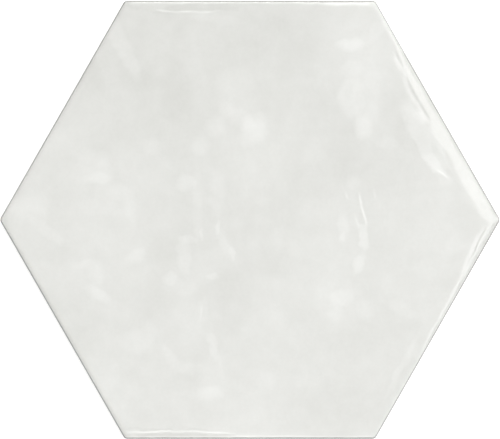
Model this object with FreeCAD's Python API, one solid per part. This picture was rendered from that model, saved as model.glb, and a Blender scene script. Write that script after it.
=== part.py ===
"""Hexagon floor tile, pressed and fired as one piece of glazed ceramic.

It lies on its bedding plane, Z = 0, with the glazed face up (+Z), one pair of corners along X and
one pair of straight edges square to Y. The origin is the centre of the bedding plane.

The outline is a six-sided tile with slightly rounded corners. From the back up, the side has a
small bevel, an upright land that faces the joint, a shoulder that leans in, and a rounded arris
where it meets the glaze. The glazed face rolls down to its edges and swells gently, as on a tile
with a hand-pressed look. The back has a honeycomb of shallow keys for the adhesive, and stands on
the ribs between them. Sizes are in millimetres.
"""

import FreeCAD, Part
import math
import os

# Outline
across_corners = 200.0  # corner to corner along X, before the corners are rounded
across_flats = 175.0  # straight edge to straight edge along Y
corner_radius = 2.0  # round of each corner, seen from above
least_corner = 0.3  # round that is left where the side has leaned in as far as the corner's radius

# Side, from the back up
thickness = 9.0  # bedding plane to the highest swell of the face
bevel_size = 0.7  # bevel round the back's edge, as wide as it is high
shoulder_height = 6.2  # where the upright land ends and the side starts to lean in
shoulder_width = 0.6  # how far the shoulder leans in, up to the arris
arris_radius = 0.8  # round between the shoulder and the glazed face

# Glazed face
roll_drop = 0.5  # how far the face has rolled down where it meets the arris
roll_reach = 4.0  # distance over which most of that drop happens
roll_waver = 0.3  # share by which the reach wavers round the tile
roll_wavers = 5  # how many times it does so in one turn
roll_phase = 1.0  # where in a waver the turn starts, in radians
roll_blend = 1.5  # how softly the rolls of two edges meet on the corner
swell_depth = 0.22  # height from the top of a swell to its bottom
swell_length = 62.0  # crest to crest
swell_fade = 15.0  # band along the edges where the swells grow from nothing
swell_trains = ((0.35, 1.0), (1.45, 1.3), (2.5, 0.85))  # heading in radians, and share of the length

# Keys in the back
key_pitch = 14.0  # centre to centre
key_depth = 0.8
rib_width = 2.2  # between two keys, on the bedding plane
key_draft = 0.6  # how far a key's wall leans in by its floor
back_border = 6.0  # least width left plain round the keys

# How closely the face is shaped
face_step = 3.5  # spacing of the points that the face is drawn through
face_lap = 0.07  # how far the arris reaches above the face's edge, so that the two cross
stock_gap = 0.1  # ledge between the arris and the stock that the face is shaped from

flat_apothem = across_flats / 2.0
slant_angle = math.atan2(across_corners / 4.0, across_flats / 2.0)
slant_apothem = across_corners / 2.0 * math.cos(slant_angle)
rim_height = thickness - roll_drop + face_lap
shoulder_lean = math.atan2(shoulder_width, rim_height - shoulder_height)
face_inset = shoulder_width + arris_radius * math.tan(math.pi / 4.0 - shoulder_lean / 2.0) + stock_gap


def edge_lines():
    """Outward normal and distance from the centre of each edge, anticlockwise from the right."""
    slants = [slant_angle, math.pi - slant_angle, math.pi + slant_angle, -slant_angle]
    right_up, left_up, left_down, right_down = [
        (math.cos(a), math.sin(a), slant_apothem) for a in slants
    ]
    return [right_up, (0.0, 1.0, flat_apothem), left_up, left_down, (0.0, -1.0, flat_apothem), right_down]


def outline_corners(inset):
    """The outline's six corners, with every edge moved in by inset."""
    lines = edge_lines()
    corners = []
    for (ax, ay, ad), (bx, by, bd) in zip(lines, lines[1:] + lines[:1]):
        a, b = ad - inset, bd - inset
        turn = ax * by - ay * bx
        corners.append(FreeCAD.Vector((a * by - b * ay) / turn, (ax * b - bx * a) / turn, 0.0))
    return corners


def outline(inset, height):
    """The tile's outline as a wire, moved in by inset, with its corners rounded."""
    radius = max(corner_radius - inset, least_corner)
    centres = outline_corners(inset + radius)
    lines = edge_lines()
    lift = FreeCAD.Vector(0.0, 0.0, height)
    edges = []
    for i, centre in enumerate(centres):
        after = lines[(i + 1) % len(lines)]
        normal_in = FreeCAD.Vector(lines[i][0], lines[i][1], 0.0)
        normal_out = FreeCAD.Vector(after[0], after[1], 0.0)
        start = centre + normal_in * radius + lift
        middle = centre + (normal_in + normal_out).normalize() * radius + lift
        end = centre + normal_out * radius + lift
        following = centres[(i + 1) % len(centres)] + normal_out * radius + lift
        edges.append(Part.Arc(start, middle, end).toShape())
        edges.append(Part.makeLine(end, following))
    return Part.Wire(edges)


def highest_face(shape):
    return max(shape.Faces, key=lambda face: face.CenterOfMass.z)


def pressed_blank():
    """The tile with its side finished, and with stock standing on it for the face."""
    sections = [
        outline(bevel_size, 0.0),
        outline(0.0, bevel_size),
        outline(0.0, shoulder_height),
        outline(shoulder_width, rim_height),
    ]
    side = Part.makeLoft(sections, True, True)
    side = side.makeFillet(arris_radius, highest_face(side).Edges)
    stock = Part.Face(outline(face_inset, shoulder_height))
    return side.fuse(stock.extrude(FreeCAD.Vector(0.0, 0.0, thickness)))


def edge_distance(x, y):
    """How far a point lies inside the nearest edge, with the corners blended."""
    near = sum(math.exp((nx * x + ny * y - d) / roll_blend) for nx, ny, d in edge_lines())
    return -roll_blend * math.log(near)


def face_height(x, y):
    """Height of the glazed face over a point of the bedding plane."""
    inside = edge_distance(x, y) - face_inset
    turn = math.atan2(y, x)
    reach = roll_reach * (1.0 + roll_waver * math.sin(roll_wavers * turn + roll_phase))
    roll = roll_drop * (1.0 - math.tanh(inside / reach))
    hollow = 0.0
    for heading, share in swell_trains:
        along = x * math.cos(heading) + y * math.sin(heading)
        hollow += 0.5 - 0.5 * math.cos(2.0 * math.pi * along / (swell_length * share) + heading)
    fade = math.tanh(max(inside, 0.0) / swell_fade)
    return thickness - roll - swell_depth * fade * hollow / len(swell_trains)


def glazed_face():
    """The face as one smooth surface, a little larger than the tile."""
    reach_x = across_corners / 2.0 + face_step
    reach_y = across_flats / 2.0 + face_step
    columns = math.ceil(2.0 * reach_x / face_step)
    rows = math.ceil(2.0 * reach_y / face_step)
    grid = []
    for i in range(columns + 1):
        x = -reach_x + 2.0 * reach_x * i / columns
        ys = [-reach_y + 2.0 * reach_y * j / rows for j in range(rows + 1)]
        grid.append([FreeCAD.Vector(x, y, face_height(x, y)) for y in ys])
    surface = Part.BSplineSurface()
    surface.interpolate(grid)
    return surface.toShape()


def key_tool():
    """One key: a six-sided pocket whose walls lean in towards its floor."""
    mouth_radius = (key_pitch - rib_width) / math.sqrt(3.0)
    floor_radius = mouth_radius - key_draft * 2.0 / math.sqrt(3.0)
    turns = [math.pi / 2.0 + k * math.pi / 3.0 for k in range(7)]
    mouth = [FreeCAD.Vector(mouth_radius * math.cos(a), mouth_radius * math.sin(a), 0.0) for a in turns]
    floor = [FreeCAD.Vector(floor_radius * math.cos(a), floor_radius * math.sin(a), key_depth) for a in turns]
    rings = [mouth, floor]
    for k in range(6):
        rings.append([mouth[k], mouth[k + 1], floor[k + 1], floor[k], mouth[k]])
    faces = [Part.Face(Part.makePolygon(ring)) for ring in rings]
    return Part.makeSolid(Part.makeShell(faces))


def key_places():
    """Centres of the honeycomb's cells that leave the border plain."""
    reach = math.ceil(across_corners / key_pitch)
    mouth_radius = (key_pitch - rib_width) / math.sqrt(3.0)
    places = []
    for row in range(-reach, reach + 1):
        for cell in range(-reach, reach + 1):
            x = key_pitch * (cell + row / 2.0)
            y = key_pitch * row * math.sqrt(3.0) / 2.0
            room = min(d - nx * x - ny * y for nx, ny, d in edge_lines())
            if room >= back_border + mouth_radius:
                places.append(FreeCAD.Vector(x, y, 0.0))
    return places


def hexagon_tile():
    above = glazed_face().extrude(FreeCAD.Vector(0.0, 0.0, thickness))
    glazed = pressed_blank().cut(above)
    key = key_tool()
    keys = Part.makeCompound([key.translated(place) for place in key_places()])
    return glazed.cut(keys).Solids[0]


os.makedirs("parts", exist_ok=True)
tile = hexagon_tile()
tile.exportStep("parts/hexagon_tile.step")
print("hexagon_tile", "valid", tile.isValid(), "volume mm3", round(tile.Volume, 1))
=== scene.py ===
"""Dresses the hexagon floor tile: pressed clay under a glossy off-white glaze, seen from straight above."""
import math

import bpy
import numpy as np
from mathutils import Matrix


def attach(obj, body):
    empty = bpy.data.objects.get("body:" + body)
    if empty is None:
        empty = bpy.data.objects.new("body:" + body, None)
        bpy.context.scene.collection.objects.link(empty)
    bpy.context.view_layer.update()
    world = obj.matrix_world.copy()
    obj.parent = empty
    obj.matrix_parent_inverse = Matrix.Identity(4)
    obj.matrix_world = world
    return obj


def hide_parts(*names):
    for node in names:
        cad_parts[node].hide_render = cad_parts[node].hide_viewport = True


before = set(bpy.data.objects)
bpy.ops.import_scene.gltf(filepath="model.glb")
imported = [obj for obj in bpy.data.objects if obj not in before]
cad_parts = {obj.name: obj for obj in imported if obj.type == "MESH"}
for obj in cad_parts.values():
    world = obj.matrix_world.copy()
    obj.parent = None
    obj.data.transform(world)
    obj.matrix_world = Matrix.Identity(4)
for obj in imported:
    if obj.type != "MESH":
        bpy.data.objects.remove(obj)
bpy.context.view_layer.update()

# The pressed tile, face and side
# A floor tile is pressed from clay powder in a steel die, glazed on its face and fired as one piece, so it is
# one closed mesh. The face starts as a fan of six triangles, divided finely, and the side is extruded from
# its rim: a rolled arris, a shoulder, an upright land and a bevel.
mm = 0.001
across_corners = 200.0 * mm  # before the corners are rounded
across_flats = 175.0 * mm
stretch = across_flats / (across_corners * math.cos(math.pi / 6))  # against a regular hexagon
corner_radius = 2.0 * mm
least_corner = 0.3 * mm  # what is left of that radius where the outline is moved far in
centre_reach = 0.31 * mm  # half the width of the innermost ring
shoulder_height = 6.2 * mm
shoulder_top = 7.97 * mm  # where the shoulder goes over into the arris
shoulder_top_inset = 0.33 * mm
face_inset = 0.8 * mm  # where the arris goes over into the face
rough_cuts = 12
fine_cuts = 9
rim_ring_share = 0.4  # spacing of the rings at the rim, as a share of the average
ring_power = 1.6  # how it grows towards the centre
corner_crowding = 0.45  # how much closer the spokes stand at a corner
near_nothing = 1e-6  # a ring share that only the centre point is under
arris_rows = 7
row_step = 1.0 * mm  # the side's rows are drawn out this far apart at first, which numbers them

slant_angle = math.atan2(across_corners / 4, across_flats / 2)
slant_apothem = across_corners / 2 * math.cos(slant_angle)
flat_apothem = across_flats / 2
edge_angles = np.array(
    [slant_angle, math.pi / 2, math.pi - slant_angle, math.pi + slant_angle, -math.pi / 2, -slant_angle]
)
edge_normals = np.stack([np.cos(edge_angles), np.sin(edge_angles)], axis=1)
edge_reach = np.array([slant_apothem, flat_apothem, slant_apothem] * 2)


def outline_corners(inset):
    """Corner between each edge and the one after it, anticlockwise, with every edge moved in by inset."""
    before, after = edge_normals, np.roll(edge_normals, -1, axis=0)
    reach_before = edge_reach[:, None] - inset
    reach_after = np.roll(reach_before, -1, axis=0)
    turn = (before[:, 0] * after[:, 1] - before[:, 1] * after[:, 0])[:, None]
    x = (reach_before * after[:, 1:] - before[:, 1:] * reach_after) / turn
    y = (before[:, :1] * reach_after - after[:, :1] * reach_before) / turn
    return np.stack([x, y], axis=2)


def on_outline(side, share, inset):
    """Points on the rounded outline, moved in by inset. The share runs along the edge of that number."""
    inset = np.broadcast_to(inset, (6, len(side)))
    radius = np.maximum(corner_radius - inset, least_corner)
    corners = outline_corners(inset + radius)
    rows = np.arange(len(side))
    radius = radius[side, rows]
    start = corners[side - 1, rows]
    end = corners[side, rows]
    turn_before = np.mod(edge_angles[side] - edge_angles[side - 1], 2 * math.pi) / 2
    turn_after = np.mod(np.roll(edge_angles, -1)[side] - edge_angles[side], 2 * math.pi) / 2
    straight = np.linalg.norm(end - start, axis=1)
    travel = share * (radius * turn_before + straight + radius * turn_after)
    past_start = travel - radius * turn_before
    past_end = past_start - straight
    swing = np.minimum(past_start, 0.0) / radius + np.maximum(past_end, 0.0) / radius
    angle = edge_angles[side] + swing
    along = np.clip(past_start / straight, 0.0, 1.0)[:, None]
    middle = start * (1 - along) + end * along
    return middle + radius[:, None] * np.stack([np.cos(angle), np.sin(angle)], axis=1)


bpy.ops.object.select_all(action="DESELECT")
bpy.ops.mesh.primitive_circle_add(vertices=6, radius=across_corners / 2, fill_type="TRIFAN")
tile = bpy.context.object
tile.name = "fired_tile"
tile.data.name = "fired_tile"
bpy.ops.object.mode_set(mode="EDIT")
bpy.ops.mesh.select_all(action="SELECT")
bpy.ops.transform.rotate(value=math.pi / 6, orient_axis="Z", center_override=(0, 0, 0))
bpy.ops.transform.resize(value=(1.0, stretch, 1.0))
bpy.ops.mesh.subdivide(number_cuts=rough_cuts)
bpy.ops.mesh.subdivide(number_cuts=fine_cuts)

# Rows of the side below the arris, as (inset, height)
side_rows = [
    (0.22 * mm, 7.3 * mm),
    (0.11 * mm, 6.65 * mm),
    (0.05 * mm, 6.3 * mm),
    (0.01 * mm, 6.05 * mm),
    (0.01 * mm, 5.0 * mm),
    (0.01 * mm, 3.6 * mm),
    (0.01 * mm, 2.2 * mm),
    (0.01 * mm, 0.85 * mm),
    (0.07 * mm, 0.6 * mm),
    (0.38 * mm, 0.3 * mm),
    (0.60 * mm, 0.06 * mm),
    (0.75 * mm, 0.0 * mm),
]
bpy.ops.mesh.select_mode(type="EDGE")
bpy.ops.mesh.select_all(action="SELECT")
bpy.ops.mesh.region_to_loop()
for _ in range(arris_rows + len(side_rows)):
    bpy.ops.mesh.extrude_region_move(TRANSFORM_OT_translate={"value": (0, 0, -row_step)})
bpy.ops.mesh.select_mode(type="VERT")
bpy.ops.object.mode_set(mode="OBJECT")


def mesh_points(mesh):
    """The mesh's points, one to a row."""
    points = np.empty(len(mesh.vertices) * 3)
    mesh.vertices.foreach_get("co", points)
    return points.reshape(-1, 3)


def lay_out(points):
    """Where the fan's points lie on the tile seen from above, and the edge and the share along it of each."""
    fan = outline_corners(np.zeros(1))[:, 0]
    reach_share = points[:, :2] @ edge_normals.T / edge_reach
    side = reach_share.argmax(axis=1)
    ring_share = reach_share.max(axis=1)
    start, end = fan[side - 1], fan[side]
    spoke = points[:, :2] / np.maximum(ring_share, near_nothing)[:, None] - start
    share = np.clip((spoke * (end - start)).sum(axis=1) / ((end - start) ** 2).sum(axis=1), 0.0, 1.0)
    share = share - corner_crowding * np.sin(2 * math.pi * share) / (2 * math.pi)
    depth_in = np.clip(1.0 - ring_share, 0.0, 1.0)
    inset_share = rim_ring_share * depth_in + (1 - rim_ring_share) * depth_in ** ring_power
    inset = face_inset + inset_share * (edge_reach[:, None] - face_inset - centre_reach)
    flat = on_outline(side, share, inset)
    flat[ring_share < near_nothing] = 0.0
    return flat, side, share


# The glaze's ripples
# The glaze froze while it still ran, so the face is not smooth: it steps down across thin ripples, and has
# low blisters. Both are laid where they catch the light, in millimetres from the tile's centre.

# A ripple is its path, its width, and how far the face rises to the left of its path and sinks to the right
ripples = [
    # streaks on the right
    (
        ((43.2, 11.5), (44.0, 8.3), (44.5, 5.5), (45.3, 3.3), (46.1, 0.7), (46.5, -3.3), (46.3, -4.9)),
        0.45,
        -0.037,
    ),
    (((41.8, 2.7), (42.3, 0.3), (43.0, -1.7), (43.4, -3.7), (43.5, -5.7)), 0.45, -0.034),
    (((49.6, 13.5), (50.0, 7.9)), 0.5, -0.028),
    (((38.1, 11.9), (38.5, 9.5), (39.4, 7.7)), 0.4, -0.04),
    # streaks left of the middle
    (((-12.1, 7.1), (-12.7, 1.9), (-12.8, -2.5), (-11.5, -6.1), (-9.1, -10.1), (-6.6, -14.9)), 0.75, -0.027),
    (((-18.7, -32.4), (-19.5, -37.2), (-20.7, -42.4)), 0.5, -0.042),
    # hook below the middle
    (((-16.7, -46.4), (-14.3, -50.4), (-11.9, -56.0), (-10.7, -61.6), (-11.1, -67.2)), 0.8, -0.036),
    # streak by the lower right edge
    (((64.3, -52.0), (60.7, -57.6), (57.6, -62.4), (56.0, -68.8)), 0.8, -0.036),
    # creases in the roll on the upper right
    (((58.4, 67.8), (59.9, 64.2), (61.9, 59.8)), 0.6, 0.072),
    (((62.1, 57.8), (65.3, 51.0), (69.5, 43.9), (72.5, 39.1)), 0.6, 0.046),
    # edge of the pool inside that roll
    (((73.5, 19.9), (76.3, 19.1), (79.5, 16.7)), 0.5, -0.032),
    # crease in the roll on the lower right
    (((94.5, -2.5), (93.6, -4.6), (92.2, -7.1), (90.5, -10.6), (88.5, -14.9), (86.7, -18.1)), 0.42, 0.075),
    # by the top edge
    (((-41.5, 83.7), (-33.9, 83.3), (-28.7, 83.0), (-19.9, 82.9), (-14.3, 83.2), (-8.7, 83.9)), 0.5, -0.052),
    # by the bottom edge
    (
        (
            (-48.3, -84.8), (-45.5, -84.7), (-37.9, -84.6), (-35.1, -84.4), (-25.1, -84.3), (-19.9, -84.6),
            (-14.7, -84.7), (-9.9, -85.0), (-7.1, -85.5), (-3.2, -85.9), (0.8, -86.3),
        ),
        0.34,
        0.055,
    ),
]
# A blister is its centre, two half widths, how far they are turned in degrees, and its height
blisters = [
    (42.4, -18.6, 1.5, 3.0, -20, 0.05),
    (38.9, 69.1, 4.5, 2.2, 10, 0.08),
    (39.5, 59.5, 3.5, 2.5, 0, 0.06),
    (37.7, 47.3, 4.4, 7.0, 0, 0.1),
    (43.6, 36.2, 3.0, 3.8, 0, 0.11),
    (-1.1, 34.8, 3.8, 3.6, 0, 0.12),
    (-27.1, 14.0, 3.0, 2.4, 0, 0.06),
    (-46.9, -15.1, 3.6, 2.0, 35, 0.06),
    (34.6, -32.6, 4.5, 3.5, 20, 0.07),
    (-33.0, -24.7, 2.5, 2.2, 0, 0.06),
    (-61.0, -30.7, 4.0, 2.2, -32, 0.07),
    (-16.3, -69.9, 3.4, 2.4, 0, 0.06),
    (71.4, 21.5, 4.0, 4.0, 30, 0.09),
    (67.0, 41.4, 3.0, 1.8, -20, 0.02),
]

# A ripple stands higher and lower along its path, runs out at the path's ends and dies away beside it
beat_length = 9.0 * mm
beat_depth = 0.15  # as a share of its height
beat_shift = 0.37  # in turns, from one ripple to the next
taper_length = 5.0 * mm
end_spread = 1.5  # past the ends, in its own widths
spread = 3.0  # beside the path, in its own widths
# The spots wander by a slow and a quick wave: how far each moves a spot, then its lengths in millimetres
# along the two axes, for the move to the side and for the move up the face
wander_waves = (
    (0.15 * mm, (11.3, 23.0), (12.7, -19.0)),
    (0.06 * mm, (4.1, -9.0), (4.7, 11.0)),
)


def rounded_path(path):
    """The path in metres, with its corners cut twice."""
    path = np.array(path) * mm
    for _ in range(2):
        cuts = np.stack([path[:-1] * 0.75 + path[1:] * 0.25, path[:-1] * 0.25 + path[1:] * 0.75], axis=1)
        path = np.concatenate([path[:1], cuts.reshape(-1, 2), path[-1:]])
    return path


def beside(path, spots):
    """For each spot: how far it lies to the left of the path, its share along it, and how far past an end."""
    nearest = np.full(len(spots), np.inf)
    left, along_share, past_end = np.zeros((3, len(spots)))
    lengths = np.linalg.norm(np.diff(path, axis=0), axis=1)
    walked = 0.0
    for k, length in enumerate(lengths):
        heading = (path[k + 1] - path[k]) / length
        away = spots - path[k]
        along = away @ heading
        across = away @ np.array([-heading[1], heading[0]])
        overrun = along - np.clip(along, 0.0, length)
        distance = np.hypot(across, overrun)
        at_end = ((k == 0) & (overrun < 0)) | ((k == len(lengths) - 1) & (overrun > 0))
        closer = distance < nearest
        nearest = np.where(closer, distance, nearest)
        left = np.where(closer, np.where(at_end, across, np.copysign(distance, across)), left)
        past_end = np.where(closer, np.where(at_end, overrun, 0.0), past_end)
        along_share = np.where(closer, (walked + along - overrun) / lengths.sum(), along_share)
        walked += length
    return left, along_share, past_end


def wandered(x, y):
    """The spots moved a little to and fro, so that nothing on the face runs as if ruled."""
    a = 2 * math.pi * x / mm
    b = 2 * math.pi * y / mm
    for move, (side_b, side_a), (up_a, up_b) in wander_waves:
        x = x + move * np.sin(b / side_b + a / side_a)
        y = y + move * np.sin(a / up_a + b / up_b)
    return x, y


def ripple_relief(x, y):
    """Height that the ripples and blisters add."""
    spots = np.column_stack([x, y])
    relief = np.zeros(len(x))
    for number, (path, width, drop) in enumerate(ripples):
        path = rounded_path(path)
        run = np.linalg.norm(np.diff(path, axis=0), axis=1).sum()
        margin = 2 * spread * width * mm
        near = ((spots > path.min(axis=0) - margin) & (spots < path.max(axis=0) + margin)).all(axis=1)
        left, along_share, past_end = beside(path, spots[near])
        u = left / (width * mm)
        from_end = run * np.minimum(along_share, 1.0 - along_share) / min(taper_length, run / 2)
        taper = np.sin(math.pi / 2 * np.clip(from_end, 0.0, 1.0))
        taper = taper * np.exp(-((past_end / (end_spread * width * mm)) ** 2))
        beat = np.sin(2 * math.pi * (along_share * run / beat_length + beat_shift * number))
        taper = taper * (1.0 - beat_depth + beat_depth * beat)
        relief[near] += drop * mm * np.tanh(u) * np.exp(-((u / spread) ** 2)) * taper
    for cx, cy, half_length, half_width, turn, rise in blisters:
        c, s = math.cos(math.radians(turn)), math.sin(math.radians(turn))
        a = ((x - cx * mm) * c + (y - cy * mm) * s) / (half_length * mm)
        b = ((y - cy * mm) * c - (x - cx * mm) * s) / (half_width * mm)
        relief += rise * mm * np.exp(-a * a - b * b)
    return relief


# Beside a ripple the face is divided more finely: for so many of its widths and so many millimetres more,
# but no further than the reach
fine_widths = 1.5
fine_margin = 0.5
fine_reach = 1.6
ripple_cuts = 2
flat = lay_out(mesh_points(tile.data))[0]
near_ripple = np.zeros(len(flat), dtype=bool)
for path, width, _ in ripples:
    left, _, past_end = beside(rounded_path(path), flat)
    near_ripple |= np.hypot(left, past_end) < min(fine_widths * width + fine_margin, fine_reach) * mm
near_ripple &= mesh_points(tile.data)[:, 2] > -row_step / 2
tile.data.vertices.foreach_set("select", near_ripple)
bpy.ops.object.mode_set(mode="EDIT")
bpy.ops.mesh.subdivide(number_cuts=ripple_cuts)
bpy.ops.mesh.select_mode(type="EDGE")
bpy.ops.object.mode_set(mode="OBJECT")

# The glazed face
# Pressing and firing leave the face gently swollen and rolled down at its edges. The roll is widest on the
# upper right-hand edge and the upper half of the lower right-hand one, and narrow on the left.
face_top = 8.90 * mm
roll_blend = 1.5 * mm  # how softly one edge's roll goes over into the next
swell_depth = 0.22 * mm
swell_length = 62.0 * mm
swell_fade = 15.0 * mm  # the swells fade out over this much of the rim
swell_trains = ((0.35, 1.0), (1.45, 1.3), (2.5, 0.85))  # heading in radians, share of that length
lip_reach = 0.5 * mm
# Each edge's roll, anticlockwise from the upper right: share along the edge, then in millimetres its drop,
# its reach and the drop of the lip at its foot
edge_rolls = [
    (
        (0.0, 0.15, 1.5, 0.08), (0.035, 0.43, 3.3, 0.07), (0.08, 0.54, 3.7, 0.06), (0.25, 0.54, 3.8, 0.06),
        (0.29, 0.52, 3.2, 0.06), (0.315, 0.52, 2.6, 0.06), (0.34, 0.52, 2.8, 0.06), (0.36, 0.54, 3.6, 0.06),
        (0.42, 0.54, 3.6, 0.07), (0.455, 0.52, 3.2, 0.09), (0.5, 0.48, 3.0, 0.13), (0.6, 0.46, 2.9, 0.17),
        (0.7, 0.42, 2.6, 0.19), (0.745, 0.34, 2.1, 0.16), (0.775, 0.2, 1.3, 0.12), (0.8, 0.11, 0.9, 0.1),
        (0.87, 0.04, 0.7, 0.07), (1.0, 0.03, 0.7, 0.0),
    ),
    (
        (0.0, 0.06, 0.8, 0), (0.04, 0.17, 1.1, 0), (0.19, 0.17, 1.0, 0), (0.23, 0.09, 0.7, 0),
        (0.5, 0.07, 0.6, 0), (1.0, 0.06, 0.6, 0),
    ),
    ((0.0, 0.1, 0.8, 0.06), (1.0, 0.09, 0.8, 0.1)),
    ((0.0, 0.09, 0.8, 0.1), (1.0, 0.09, 0.8, 0.1)),
    (
        (0.0, 0.04, 1.4, 0), (0.42, 0.04, 1.4, 0), (0.5, 0.07, 0.55, 0), (0.66, 0.07, 0.55, 0),
        (0.8, 0.02, 0.7, 0), (1.0, 0.02, 0.7, 0),
    ),
    (
        (0.0, 0.03, 0.8, 0.05), (0.38, 0.05, 0.7, 0.03), (0.44, 0.24, 0.85, 0.0), (0.6, 0.28, 0.9, 0.0),
        (0.68, 0.3, 1.05, 0.02), (0.74, 0.34, 1.7, 0.04), (0.82, 0.4, 2.2, 0.05), (0.9, 0.47, 2.6, 0.1),
        (0.95, 0.48, 2.7, 0.12), (0.985, 0.3, 2.2, 0.1), (1.0, 0.16, 1.6, 0.08),
    ),
]


def face_height(x, y):
    """Height of the face, and how steeply it would fall at the rim."""
    x, y = wandered(x, y)
    over = (np.stack([x, y], axis=1) @ edge_normals.T - edge_reach) / roll_blend
    grip = np.exp(over)
    total = grip.sum(axis=1)
    inside = -roll_blend * np.log(total) - face_inset
    corners = outline_corners(np.zeros(1))[:, 0]
    drop, reach, lip = np.zeros((3, len(x)))
    for k, roll in enumerate(edge_rolls):
        edge = corners[k] - corners[k - 1]
        along = ((x - corners[k - 1, 0]) * edge[0] + (y - corners[k - 1, 1]) * edge[1]) / (edge @ edge)
        places, drops, reaches, lips = np.array(roll).T
        drop += grip[:, k] / total * np.interp(along, places, drops) * mm
        reach += grip[:, k] / total * np.interp(along, places, reaches) * mm
        lip += grip[:, k] / total * np.interp(along, places, lips) * mm
    rolled = drop * (1 - np.tanh(inside / reach)) + lip * (1 - np.tanh(inside / lip_reach))
    hollow = 0.0
    for heading, length in swell_trains:
        along = x * math.cos(heading) + y * math.sin(heading)
        hollow = hollow + 0.5 - 0.5 * np.cos(2 * math.pi * along / (swell_length * length) + heading)
    fade = np.tanh(np.maximum(inside, 0.0) / swell_fade)
    height = face_top - rolled - swell_depth * fade * hollow / len(swell_trains)
    return height + ripple_relief(x, y), drop / reach + lip / lip_reach


points = mesh_points(tile.data)
row = np.round(-points[:, 2] / row_step).astype(int)
flat, side, share = lay_out(points)
on_side = row > 0
rim_height, rim_slope = face_height(flat[:, 0], flat[:, 1])
height = rim_height.copy()
inset = np.full(len(flat), face_inset)

# The arris is a curve from the face, sloping down to the rim, to the leaning shoulder
rim_angle = np.arctan(rim_slope)
lean = math.atan2(shoulder_top_inset, shoulder_top - shoulder_height)
face_pull = 0.30 * mm  # how far the curve keeps to the face's slope
shoulder_pull_share = 0.38  # and to the shoulder's lean, as a share of the height between them
for k in range(1, arris_rows + 1):
    here = row == k
    u = k / arris_rows
    weights = [(1 - u) ** 3, 3 * u * (1 - u) ** 2, 3 * u ** 2 * (1 - u), u ** 3]
    insets = [face_inset, face_inset - face_pull * np.cos(rim_angle[here])]
    shoulder_pull = shoulder_pull_share * (rim_height[here] - shoulder_top)
    insets += [shoulder_top_inset + shoulder_pull * math.sin(lean), shoulder_top_inset]
    heights = [rim_height[here], rim_height[here] - face_pull * np.sin(rim_angle[here])]
    heights += [shoulder_top + shoulder_pull * math.cos(lean), shoulder_top]
    inset[here] = sum(w * i for w, i in zip(weights, insets))
    height[here] = sum(w * h for w, h in zip(weights, heights))
for k, (row_inset, row_height) in enumerate(side_rows, start=arris_rows + 1):
    here = row == k
    inset[here] = row_inset
    height[here] = row_height
flat[on_side] = on_outline(side[on_side], share[on_side], inset[on_side])
points = np.column_stack([flat, height])
tile.data.vertices.foreach_set("co", points.ravel())
tile.data.update()

# The keys in the back
# The die leaves a honeycomb of shallow pockets in the back, which the adhesive fills. One is modelled, with a
# soft lip and a rounded foot, and copied to every place. The ribs between them are filled in last.
key_pitch = 14.0 * mm
rib_width = 2.2 * mm
back_border = 6.0 * mm
mouth_radius = (key_pitch - rib_width) / math.sqrt(3)
key_corner = 0.7 * mm
# The pocket's lip, wall and foot: how far each goes in and down
key_steps = ((0.06 * mm, 0.12 * mm), (0.42 * mm, 0.55 * mm), (0.12 * mm, 0.13 * mm))
bpy.ops.object.select_all(action="DESELECT")
bpy.ops.mesh.primitive_circle_add(vertices=6, radius=mouth_radius, fill_type="NGON")
key = bpy.context.object
bpy.ops.object.mode_set(mode="EDIT")
bpy.ops.mesh.select_all(action="SELECT")
bpy.ops.mesh.flip_normals()
bpy.ops.mesh.bevel(offset=key_corner, segments=2, affect="VERTICES")
bpy.ops.mesh.select_mode(type="FACE")
bpy.ops.mesh.select_all(action="SELECT")
for inward, down in key_steps:
    bpy.ops.mesh.inset(thickness=inward, depth=-down)
bpy.ops.object.mode_set(mode="OBJECT")

keys = []
most_cells = math.ceil(across_corners / key_pitch)
for line in range(-most_cells, most_cells + 1):
    for cell in range(-most_cells, most_cells + 1):
        centre = np.array([key_pitch * (cell + line / 2), key_pitch * line * math.sqrt(3) / 2])
        room = (edge_reach - edge_normals @ centre).min()
        if room >= back_border + mouth_radius:
            copy = key.copy()
            copy.data = key.data.copy()
            copy.location = (centre[0], centre[1], 0.0)
            bpy.context.collection.objects.link(copy)
            keys.append(copy)
bpy.data.objects.remove(key)
bpy.ops.object.select_all(action="DESELECT")
for copy in keys:
    copy.select_set(True)
tile.select_set(True)
bpy.context.view_layer.objects.active = tile
bpy.ops.object.join()
bpy.ops.object.mode_set(mode="EDIT")
bpy.ops.mesh.select_mode(type="EDGE")
bpy.ops.mesh.select_all(action="DESELECT")
bpy.ops.mesh.select_non_manifold()
bpy.ops.mesh.fill(use_beauty=True)
bpy.ops.mesh.select_all(action="SELECT")
bpy.ops.mesh.normals_make_consistent(inside=False)
bpy.ops.object.mode_set(mode="OBJECT")
bpy.ops.object.shade_smooth_by_angle(angle=math.radians(40))

# The glaze and the clay
# An off-white gloss glaze, a little cloudy where it pooled, over the face and down the arris. Its tone also
# carries painted light: it is painted darker towards the top, has patches of painted highlight and painted
# shade, and painted shade on the arris that darkens the outline. It ends in a wavering line on the shoulder.
# Below that and on the back is the bare fired clay, matt and finely grained.


class Amount:
    """A number that varies over the surface, taken from a node's socket, so that sums on it read as sums."""

    def __init__(self, finish, socket):
        self.finish = finish
        self.socket = socket

    def sum(self, operation, *inputs):
        return self.finish.node("ShaderNodeMath", {"operation": operation}, dict(enumerate(inputs)))

    def __add__(self, other):
        return self.sum("ADD", self, other)

    def __radd__(self, other):
        return self.sum("ADD", other, self)

    def __sub__(self, other):
        return self.sum("SUBTRACT", self, other)

    def __rsub__(self, other):
        return self.sum("SUBTRACT", other, self)

    def __mul__(self, other):
        return self.sum("MULTIPLY", self, other)

    def __rmul__(self, other):
        return self.sum("MULTIPLY", other, self)

    def __abs__(self):
        return self.sum("ABSOLUTE", self)

    def lesser(self, other):
        """The smaller of the two."""
        return self.sum("MINIMUM", self, other)


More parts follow.
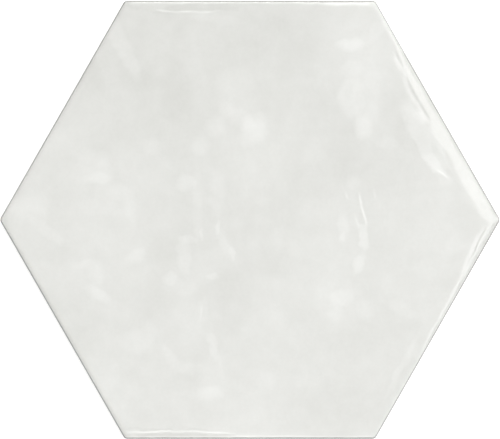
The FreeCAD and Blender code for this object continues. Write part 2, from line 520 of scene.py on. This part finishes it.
class Finish:
    """A material in the making, or the world's light."""

    def __init__(self, owner):
        self.tree = owner.node_tree
        self.tree.nodes.clear()

    def node(self, kind, settings, sockets, output=0):
        """Adds a node, its settings first and then its sockets' values and links, and gives an output."""
        node = self.tree.nodes.new(kind)
        for name, value in settings.items():
            setattr(node, name, value)
        for name, value in sockets.items():
            if isinstance(value, Amount):
                self.tree.links.new(value.socket, node.inputs[name])
            else:
                node.inputs[name].default_value = value
        return Amount(self, node.outputs[output]) if node.outputs else node

    def ramp(self, amount, start, end):
        """A smooth change from 0 at start to 1 at end."""
        settings = {"interpolation_type": "SMOOTHSTEP"}
        sockets = {"Value": amount, "From Min": start, "From Max": end}
        return self.node("ShaderNodeMapRange", settings, sockets)

    def mix(self, share, low, high):
        """A colour between two."""
        return self.node("ShaderNodeMix", {"data_type": "RGBA"}, {0: share, 6: low, 7: high}, 2)

    def vector(self, operation, *inputs, output="Vector"):
        """A sum on places or colours."""
        return self.node("ShaderNodeVectorMath", {"operation": operation}, dict(enumerate(inputs)), output)

    def along(self, place, axis):
        """How far a place lies along an axis."""
        return self.vector("DOT_PRODUCT", place, axis, output="Value")


white_glaze = bpy.data.materials.new("white_glaze")
white_glaze.use_nodes = True
glaze = Finish(white_glaze)
place = glaze.node("ShaderNodeTexCoord", {}, {}, "Object")


def noise(scale, detail, roughness):
    """Noise over the surface, about a half on average."""
    sockets = {"Vector": place, "Scale": scale, "Detail": detail, "Roughness": roughness}
    return glaze.node("ShaderNodeTexNoise", {}, sockets)


thick_white = (0.810, 0.813, 0.787, 1.0)
thin_white = (0.607, 0.610, 0.577, 1.0)
bared_grey_and_edge_shade = (0.46, 0.46, 0.44, 1.0)
dark_clay = (0.50, 0.44, 0.36, 1.0)
pale_clay = (0.70, 0.65, 0.57, 1.0)
top_shade_fall = 1.2  # painted shade: the face is painted darker towards the top edge, by this much a metre
# Clouds all over the glaze: strength, then scale, detail and roughness
clouds = ((0.50, 42.0, 4.0, 0.6), (0.36, 150.0, 3.0, 0.6), (0.12, 900.0, 1.0, 0.5))
drift_scale = 160.0
drift_reach = 5.0 * mm  # how far a patch's rim wanders
# Patches painted lighter and darker: partly pools of thicker and thinner glaze, partly painted highlights
# where the glaze mirrors the softboxes and painted shade beside the rims and towards the upper left. Centre
# and half widths in millimetres, turn in degrees, strength, and how softly they end
pools_and_painted_light = [
    (-51.1, 69.8, 2.2, 11.2, 24, 0.19, 0.8),
    (-29.1, 51.0, 4.4, 7.6, 0, -0.14, 0.95),
    (-41.1, 55.0, 4.4, 2.8, 0, -0.11, 0.9),
    (-25.9, 64.6, 5.2, 2.8, 0, -0.08, 0.95),
    (-6.0, 51.0, 6.8, 6.8, 0, 0.13, 0.8),
    (-13.9, 37.1, 3.2, 2.8, 0, 0.16, 0.8),
    (-9.5, 43.9, 2.4, 2.0, 0, 0.11, 0.9),
    (1.2, 35.5, 3.6, 4.8, -30, 0.29, 0.8),
    (-2.8, 39.9, 4.0, 2.4, -40, 0.13, 0.9),
    (-19.9, 29.1, 2.4, 2.8, 0, 0.14, 0.9),
    (-38.7, 29.5, 2.4, 2.8, 0, 0.13, 0.9),
    (-25.5, 14.7, 2.8, 2.4, 0, 0.26, 0.8),
    (-59.9, 16.7, 3.6, 2.0, 0, 0.19, 0.8),
    (-63.1, 21.1, 6.8, 5.2, 0, 0.16, 0.6),
    (-52.7, 11.1, 3.2, 2.0, 0, 0.10, 0.9),
    (-87.8, 5.5, 5.2, 4.4, 0, 0.16, 0.8),
    (-65.9, 1.9, 18.0, 16.0, 0, 0.05, 0.8),
    (-13.1, 11.9, 2.2, 8.8, 0, 0.10, 0.8),
    (-21.1, 6.7, 1.6, 12.0, 0, 0.10, 0.7),
    (-19.1, -5.3, 0.6, 1.8, 0, 0.22, 0.8),
    (-12.8, -2.5, 0.6, 2.0, 0, 0.19, 0.8),
    (-6.7, -13.3, 0.7, 1.8, 0, 0.19, 0.8),
    (-47.5, 5.9, 1.6, 6.8, 12, 0.11, 0.9),
    (-63.9, 55.0, 3.6, 6.0, 0, -0.10, 0.9),
    (-45.1, 85.2, 3.6, 0.7, 0, -0.16, 0.8),
    (-27.1, 85.2, 5.2, 0.8, 0, -0.16, 0.8),
    (-11.1, 85.0, 4.4, 0.7, 0, -0.16, 0.8),
    (-25.5, 83.9, 16.0, 0.5, 0, -0.13, 0.6),
    (-43.9, 59.8, 24.0, 19.2, 0, -0.06, 0.95),
    (-18.7, 81.0, 3.6, 1.4, 0, 0.13, 0.9),
    (-8.7, 79.4, 4.0, 1.4, 0, 0.13, 0.9),
    (40.0, 69.8, 4.4, 2.0, 5, 0.26, 0.6),
    (40.8, 60.2, 3.6, 2.2, 0, 0.13, 0.8),
    (40.4, 49.0, 4.4, 8.0, 0, 0.22, 0.35),
    (39.6, 51.0, 1.4, 2.0, 0, -0.10, 0.9),
    (48.8, 49.8, 3.6, 8.8, 0, 0.14, 0.6),
    (45.2, 37.1, 3.0, 4.2, 0, 0.26, 0.5),
    (55.2, 63.0, 20.0, 22.4, 0, 0.10, 0.5),
    (48.0, 71.0, 13.6, 16.0, 0, 0.08, 0.5),
    (57.6, 41.5, 3.6, 8.8, 20, -0.13, 0.6),
    (51.2, 75.8, 2.0, 4.8, -40, 0.13, 0.7),
    (70.7, 30.7, 4.4, 18.0, 30, 0.26, 0.22),
    (67.9, 41.3, 3.0, 1.8, -15, 0.16, 0.5),
    (74.3, 22.7, 3.0, 4.8, 50, 0.19, 0.4),
    (76.7, 23.5, 1.0, 5.6, 30, -0.26, 0.8),
    (26.0, 27.9, 3.2, 4.4, 0, 0.06, 0.9),
    (54.8, 30.7, 2.8, 2.0, 0, 0.10, 0.9),
    (20.0, 17.9, 6.4, 5.2, 0, -0.08, 0.95),
    (40.8, 23.9, 8.8, 4.8, 0, -0.08, 0.95),
    (14.0, 73.8, 13.6, 11.2, 0, -0.06, 0.9),
    (41.2, 15.1, 2.0, 2.4, 0, 0.13, 0.8),
    (-81.4, -4.5, 1.6, 6.0, 48, 0.13, 0.8),
    (-64.7, -24.0, 5.2, 8.0, 20, 0.11, 0.8),
    (-59.5, -20.8, 3.6, 2.8, 0, 0.10, 0.8),
    (-59.9, -30.0, 4.0, 1.8, -32, 0.22, 0.9),
    (-52.7, -36.8, 3.6, 2.4, 0, 0.10, 0.9),
    (-45.9, -14.5, 3.6, 1.6, 35, 0.16, 0.9),
    (-26.3, -14.5, 2.0, 5.2, 8, 0.19, 0.8),
    (-24.7, -8.1, 2.8, 1.0, 0, 0.16, 0.8),
    (-31.9, -24.0, 2.4, 2.0, 0, 0.22, 0.85),
    (-25.5, -26.8, 3.2, 2.8, 0, 0.13, 0.85),
    (-33.9, -12.9, 5.2, 3.6, 0, -0.10, 0.95),
    (-37.9, -35.2, 4.8, 4.8, 0, -0.10, 0.95),
    (-7.9, -27.2, 4.4, 4.4, 0, -0.08, 0.95),
    (-12.7, -33.2, 4.0, 2.8, 0, -0.06, 0.95),
    (-75.8, -14.5, 4.0, 2.8, 0, -0.10, 0.95),
    (-67.9, -50.0, 3.2, 5.2, 20, -0.08, 0.95),
    (-25.9, -64.8, 4.4, 2.4, 0, -0.10, 0.95),
    (-19.9, -40.8, 6.4, 6.4, 0, 0.10, 0.8),
    (-19.5, -37.2, 1.6, 4.0, -10, 0.13, 0.9),
    (-14.7, -50.4, 1.4, 4.0, 15, 0.22, 0.8),
    (-14.7, -60.0, 4.4, 7.6, 0, 0.08, 0.8),
    (-15.1, -69.2, 4.0, 2.0, 0, 0.21, 0.9),
    (-31.9, -54.4, 1.4, 3.6, 30, 0.13, 0.9),
    (-23.9, -59.2, 5.6, 1.8, 0, 0.08, 0.8),
    (-66.3, -17.7, 4.0, 1.4, 8, 0.10, 0.8),
    (-45.1, -48.0, 4.8, 3.2, 0, 0.13, 0.9),
    (-9.7, -9.3, 1.4, 6.4, 28, 0.10, 0.8),
    (-15.1, -22.4, 1.6, 0.8, 40, 0.19, 0.8),
    (-29.5, -86.1, 20.0, 0.9, 0, -0.26, 0.5),
    (-32.7, -83.9, 15.2, 0.5, 0, -0.16, 0.6),
    (37.0, -2.9, 2.0, 4.8, 0, 0.18, 0.6),
    (37.0, -6.9, 1.0, 1.4, 0, 0.13, 0.8),
    (43.7, -17.7, 1.5, 3.6, -22, 0.26, 0.6),
    (45.0, -6.5, 1.8, 4.4, 6, 0.32, 0.4),
    (36.8, -31.2, 3.2, 2.4, 20, 0.16, 0.95),
    (33.6, -37.6, 2.4, 2.2, 0, 0.14, 0.9),
    (34.8, -32.4, 6.8, 7.6, 0, 0.08, 0.8),
    (46.0, -36.4, 2.4, 2.8, 0, 0.11, 0.8),
    (61.1, -36.0, 4.4, 2.0, -25, 0.11, 0.8),
    (64.7, -52.0, 2.0, 2.8, -20, 0.08, 0.9),
    (60.3, -58.8, 1.0, 10.8, -26, 0.13, 0.8),
    (8.0, -16.9, 6.8, 4.4, 0, -0.13, 0.95),
    (10.0, -40.4, 3.6, 3.2, 0, 0.08, 0.9),
    (56.0, -24.8, 2.0, 2.8, 0, 0.06, 0.9),
    (69.9, -19.3, 2.8, 2.8, 0, 0.10, 0.9),
    (81.9, -10.1, 2.8, 2.4, 0, 0.10, 0.9),
    (75.9, 1.9, 16.0, 14.0, 0, 0.06, 0.8),
    (6.0, -64.0, 2.8, 2.4, 0, 0.10, 0.9),
    (30.0, -72.0, 8.8, 5.6, 0, -0.08, 0.95),
    (48.0, -66.0, 24.0, 20.0, 0, -0.06, 0.95),
]
drift = glaze.node("ShaderNodeTexNoise", {}, {"Vector": place, "Scale": drift_scale, "Detail": 4.0}, "Color")
drift = glaze.vector("SUBTRACT", drift, (0.5, 0.5, 0.5))
drift = glaze.vector("MULTIPLY", drift, (drift_reach, drift_reach, drift_reach))
drifted = glaze.vector("ADD", place, drift)
towards_top = glaze.along(place, (0.0, 1.0, 0.0))
height_up = glaze.along(place, (0.0, 0.0, 1.0))
# The face's tone: painted shade towards the top, random clouds of glaze, then the patches of painted
# highlight and painted shade
glaze_tone_and_painted_light = 0.5 - top_shade_fall * towards_top
for strength, scale, detail, roughness in clouds:
    glaze_tone_and_painted_light = glaze_tone_and_painted_light + strength * (noise(scale, detail, roughness) - 0.5)
# Each patch adds to the tone: some are glaze pooled thicker or thinner, others painted highlights or painted
# shade
for cx, cy, half_length, half_width, turn, strength, softness in pools_and_painted_light:
    c, s = math.cos(math.radians(turn)), math.sin(math.radians(turn))
    away = glaze.vector("SUBTRACT", drifted, (cx * mm, cy * mm, 0.0))
    lengthwise = glaze.along(away, (c / (half_length * mm), s / (half_length * mm), 0.0))
    crosswise = glaze.along(away, (-s / (half_width * mm), c / (half_width * mm), 0.0))
    distance_squared = lengthwise * lengthwise + crosswise * crosswise
    glaze_tone_and_painted_light = glaze_tone_and_painted_light + strength * glaze.ramp(distance_squared, (1.0 + softness) ** 2, (1.0 - softness) ** 2)
face_tint = glaze.mix(glaze_tone_and_painted_light, thin_white, thick_white)

# It ran off the arris, where the greyer clay shows through, and gathered below. The grey there is also
# painted shade, which darkens the tile's outline. Going up the grey starts, is full, wanes and ends at these
# heights, and going in from the outline it wanes and ends at these depths.
grey_starts = 6.9 * mm
grey_full = 7.6 * mm
grey_wanes = 8.1 * mm
grey_ends = 8.45 * mm
wane_depth = 0.45 * mm
end_depth = 0.85 * mm
from_edge = 1.0
for angle, reach in zip(edge_angles[:3], edge_reach[:3]):
    out_from_centre = glaze.along(place, (math.cos(angle), math.sin(angle), 0.0))
    from_edge = (float(reach) - abs(out_from_centre)).lesser(from_edge)
bared_and_edge_shade = glaze.ramp(height_up, grey_ends, grey_wanes) * glaze.ramp(height_up, grey_starts, grey_full)
bared_and_edge_shade = bared_and_edge_shade * glaze.ramp(from_edge, end_depth, wane_depth)
glaze_tint = glaze.mix(bared_and_edge_shade, face_tint, bared_grey_and_edge_shade)

# Below its line the clay is bare
line_height = 5.3 * mm
slow_waver = 2.2 * mm
quick_waver = 1.2 * mm
line_blur = 0.12 * mm
clay_roughness = 0.85
clay_grain = noise(1500.0, 2.0, 0.6)
clay_cloud = noise(60.0, 3.0, 0.55)
clay_tint = glaze.mix(clay_grain * 0.7 + clay_cloud * 0.3, dark_clay, pale_clay)
glaze_line = line_height + slow_waver * (noise(90.0, 2.0, 0.5) - 0.5)
glaze_line = glaze_line + quick_waver * (noise(520.0, 2.0, 0.5) - 0.5)
glazed = glaze.ramp(height_up - glaze_line, -line_blur, line_blur)
tint = glaze.mix(glazed, clay_tint, glaze_tint)
glaze_roughness = 0.06 + 0.05 * noise(60.0, 2.0, 0.5)
roughness = glazed * glaze_roughness + (1.0 - glazed) * clay_roughness
glaze_relief = 0.35 * noise(260.0, 2.0, 0.5)
clay_relief = 0.5 * clay_grain + 0.5 * clay_cloud
relief = glazed * glaze_relief + (1.0 - glazed) * clay_relief
bump = glaze.node("ShaderNodeBump", {}, {"Strength": 0.4, "Distance": 0.08 * mm, "Height": relief})
surface = glaze.node(
    "ShaderNodeBsdfPrincipled", {}, {"Base Color": tint, "Roughness": roughness, "IOR": 1.5, "Normal": bump}
)
glaze.node("ShaderNodeOutputMaterial", {}, {"Surface": surface})
tile.data.materials.append(white_glaze)
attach(tile, "root")
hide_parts("hexagon_tile")

# The paper that the tile lies on
# White studio paper, flat under the tile and swept up to a wall all round. It has an opening under the tile,
# a little smaller than its foot, so that the back can be looked at from below.
opening = 0.991  # as a share of the tile's outline
sweep = ((60.0, 0.0), (1.09, 0.2), (1.06, 0.5), (1.01, 0.7), (1.0, 2.6))  # widening and rise of each step
paper_white = (0.8, 0.8, 0.8, 1.0)
paper_light = 0.62  # light of its own, as if lit from all round
bpy.ops.object.select_all(action="DESELECT")
bpy.ops.mesh.primitive_circle_add(vertices=6, radius=across_corners / 2, fill_type="NOTHING")
floor = bpy.context.object
floor.name = "studio_floor"
bpy.ops.object.mode_set(mode="EDIT")
bpy.ops.mesh.select_mode(type="EDGE")
bpy.ops.mesh.select_all(action="SELECT")
bpy.ops.transform.rotate(value=math.pi / 6, orient_axis="Z", center_override=(0, 0, 0))
bpy.ops.transform.resize(value=(opening, opening * stretch, 1.0))
for widening, rise in sweep:
    bpy.ops.mesh.extrude_region_move(TRANSFORM_OT_translate={"value": (0, 0, rise)})
    bpy.ops.transform.resize(value=(widening, widening, 1.0))
bpy.ops.object.mode_set(mode="OBJECT")
studio_paper = bpy.data.materials.new("studio_paper")
studio_paper.use_nodes = True
paper = Finish(studio_paper)
paper_surface = paper.node(
    "ShaderNodeBsdfPrincipled",
    {},
    {
        "Base Color": paper_white,
        "Roughness": 0.9,
        "Specular IOR Level": 0.0,
        "Emission Color": (1.0, 1.0, 1.0, 1.0),
        "Emission Strength": paper_light,
    },
)
paper.node("ShaderNodeOutputMaterial", {}, {"Surface": paper_surface})
floor.data.materials.append(studio_paper)
floor.visible_diffuse = False
floor.visible_glossy = False
floor.visible_shadow = False

# Studio light
# A pale room, brighter towards the upper right, with softboxes that the glaze mirrors where it rolls down to
# its edges. A bright band above the horizon and a low light on the right show the sides and the back.
world = bpy.data.worlds.new("studio_light")
bpy.context.scene.world = world
world.use_nodes = True
light = Finish(world)
sky = light.node("ShaderNodeTexCoord", {}, {}, "Generated")


def toward(direction):
    """How far the sky's direction points along another."""
    return light.along(sky, direction)


overhead = toward((0.0, 0.0, 1.0))


def panel(azimuth, near, far, half_width, blur):
    """A softbox in the sky. near and far are sines of its edges' angles from the zenith."""
    c, s = math.cos(math.radians(azimuth)), math.sin(math.radians(azimuth))
    out = toward((c, s, 0.0))
    aside = abs(toward((-s, c, 0.0)))
    inside = light.ramp(out, near - blur, near + blur) * light.ramp(out, far + blur, far - blur)
    inside = inside * light.ramp(aside, half_width + blur, half_width - blur)
    return inside * light.ramp(overhead, 0.0, 0.02)


main_azimuth = 30  # of the main softbox, and of the room's brighter half
main_way = (math.cos(math.radians(main_azimuth)), math.sin(math.radians(main_azimuth)), 0.0)
bright_half = light.ramp(toward(main_way), -0.06, 0.07) * light.ramp(overhead, -0.3, 0.6)
low_light = light.ramp(toward((0.75, 0.55, -0.37)), 0.35, 0.85) * light.ramp(overhead, -0.85, -0.65)
low_light = low_light * light.ramp(overhead, -0.05, -0.25)
band = light.ramp(overhead, 0.235, 0.265) * light.ramp(overhead, 0.53, 0.50)
band_light = 0.35 + 0.75 * light.ramp(toward((0.7, 0.7, 0.0)), -0.5, 0.5)
from_lamp = light.vector("DISTANCE", sky, (0.07, 0.01, 0.997), output="Value")
radiance = (
    0.29  # the room all round
    + 0.30 * light.ramp(overhead, 0.05, -0.2)  # its lower half
    + 1.1 * low_light
    + 0.232 * light.ramp(overhead, 0.05, 0.65)  # its ceiling
    + 0.60 * bright_half
    + band * band_light
    + 3.2 * panel(main_azimuth, 0.066, 0.44, 0.36, 0.010)  # the main softbox
    + 0.9 * panel(main_azimuth, 0.10, 0.36, 0.28, 0.02)  # and its brighter middle
    + 6.0 * panel(-90, 0.08, 0.34, 0.07, 0.012)  # narrow softboxes below and above the tile in the view
    + 5.0 * panel(90, 0.20, 0.60, 0.06, 0.012)
    + 0.8 * light.ramp(from_lamp, 0.16, 0.0)  # a soft lamp overhead
)
background = light.node("ShaderNodeBackground", {}, {"Strength": radiance})
light.node("ShaderNodeOutputWorld", {}, {"Surface": background})

# Camera, straight above the tile
# The tile's width and centre in the photo's pixels give the lens and the camera's place. The tile is widest
# at its shoulder, so the lens is set for that height.
camera_height = 3.0
sensor_width = 36.0
photo_width_px = 500
tile_width_px = 500.8
tile_centre_px = (249.9, 219.8)
photo_centre_px = (250.0, 219.5)
metres_per_px = across_corners / tile_width_px
camera_data = bpy.data.cameras.new("overhead")
camera_data.sensor_width = sensor_width
camera_data.lens = sensor_width * (camera_height - shoulder_height) / (photo_width_px * metres_per_px)
camera = bpy.data.objects.new("overhead", camera_data)
bpy.context.collection.objects.link(camera)
camera.location = (
    (photo_centre_px[0] - tile_centre_px[0]) * metres_per_px,
    (tile_centre_px[1] - photo_centre_px[1]) * metres_per_px,
    camera_height,
)
bpy.context.scene.camera = camera
bpy.context.scene.view_settings.view_transform = "Standard"

bpy.context.view_layer.update()
